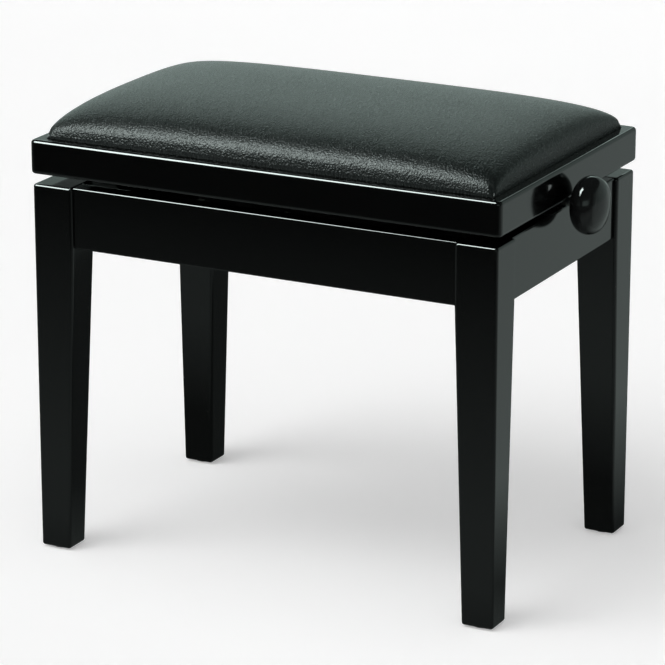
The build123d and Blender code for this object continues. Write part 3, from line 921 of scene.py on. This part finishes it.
def studio_air():
    """What gloss mirrors of the air: pale behind on the left, dimmer elsewhere, dark overhead."""
    world = bpy.data.worlds.new("studio")
    bpy.context.scene.world = world
    world.use_nodes = True
    tree = world.node_tree
    look = coordinates(tree, "Generated")
    side = part(look, "X")
    depth = part(look, "Y")
    height = part(look, "Z")
    low = span(height, *horizon_height, air_low, air_horizon)
    backdrop = span(height, *backdrop_foot_height, 0.0, air_backdrop - air_horizon) + low
    right = mask(side, *backdrop_end_side)
    wall = (backdrop * (1.0 - right) + right * air_right) * mask(depth, *backdrop_depth)
    near = span(depth, *front_air_depth, air_front, 0.0)
    front = near * mask(side, *front_air_side) * mask(height, *front_air_height)
    below_top = span(height, *backdrop_top_height, 1.0, 0.0)
    level = ((wall + front) * below_top + air_above) / air_backdrop
    glow = tree.nodes["Background"]
    feed(tree, glow.inputs["Color"], mixed(level, paint(0.0, 0.0, 0.0), paint(*air_tint)))
    feed(tree, glow.inputs["Strength"], air_backdrop)
    world.cycles_visibility.diffuse = False


def floor_mirror():
    """What gloss mirrors of the floor: pale right and far left, dim in front, dark under the stool."""
    reach = stage_radius
    corners = [(-reach, -reach, 0.0), (reach, -reach, 0.0), (reach, reach, 0.0), (-reach, reach, 0.0)]
    sheet = mesh_object("floor_mirror", corners, [(0, 1, 2, 3)])
    material, shader, place = new_finish("floor_mirror")
    side = part(place, "X")
    depth = part(place, "Y")
    right = span(side, *right_floor_side, 0.0, floor_mirror_right) * mask(depth, *right_floor_depth)
    near = span(depth, *front_floor_depth, floor_mirror_near, floor_mirror_front)
    front = near * span(depth, *under_floor_depth, 1.0, floor_mirror_under / floor_mirror_front)
    far = span(depth, *behind_floor_depth, 0.0, floor_mirror_behind)
    behind = far * span(side, *behind_floor_side, 1.0, 0.0)
    level = brighter(brighter(right, front), behind)
    black = paint(0.0, 0.0, 0.0)
    dress(
        shader,
        base_color=black,
        roughness=1.0,
        specular_ior_level=0.0,
        emission_color=mixed(level, black, paint(*floor_tint)),
        emission_strength=1.0,
    )
    sheet.data.materials.append(material)
    sheet.visible_camera = False
    sheet.visible_diffuse = False
    sheet.visible_shadow = False
    sheet.visible_transmission = False


def camera():
    """The camera at the photograph's viewing angle."""
    azimuth = math.radians(view_azimuth)
    elevation = math.radians(view_elevation)
    way = Vector((math.sin(azimuth) * math.cos(elevation),
                  -math.cos(azimuth) * math.cos(elevation),
                  math.sin(elevation)))
    data = bpy.data.cameras.new("camera")
    data.sensor_width = sensor_width
    data.lens = lens_pixels * sensor_width / picture_pixels
    data.clip_end = view_end
    made = bpy.data.objects.new("camera", data)
    bpy.context.scene.collection.objects.link(made)
    aim(made, view_target + way * view_distance, view_target)
    bpy.context.scene.camera = made


camera()
studio_stage()
studio_air()
floor_mirror()
key_light()
soft_sun("side_sun", side_sun_place, side_sun_strength, side_sun_spread)
soft_sun("top_sun", top_sun_place, top_sun_strength, top_sun_spread)
bpy.context.scene.view_settings.view_transform = "Standard"

# Each solid's own material is named after its slot, and makes way for the finish of that name
finishes = {
    "lacquer": lacquer(),
    "bare_wood": bare_wood(),
    "stained_wood": stained_wood(),
    "panel_board": panel_board(),
    "plywood": plywood(),
    "leatherette": leatherette(),
    "foam": foam(),
    "felt": felt(),
    "knob_plastic": knob_plastic(),
    "bronze": bronze(),
    "nylon": nylon(),
    "plate_steel": plate_steel(),
    "turned_steel": turned_steel("steel_turned_crossways", 1),
    "fastener_steel": fastener_steel(),
}
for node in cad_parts.values():
    slot = node.material_slots[0]
    slot.material = finishes[slot.material.name]

# The spindle and its collar are turned along the stool, and the other rods across it
spindle_steel = turned_steel("steel_turned_lengthways", 0)
for name in ("spindle", "spindle_collar"):
    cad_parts[name].material_slots[0].material = spindle_steel

cover = cushion_cover(finishes["leatherette"])
cushion_foam(cover, finishes["foam"])
threaded_spindle(spindle_steel)
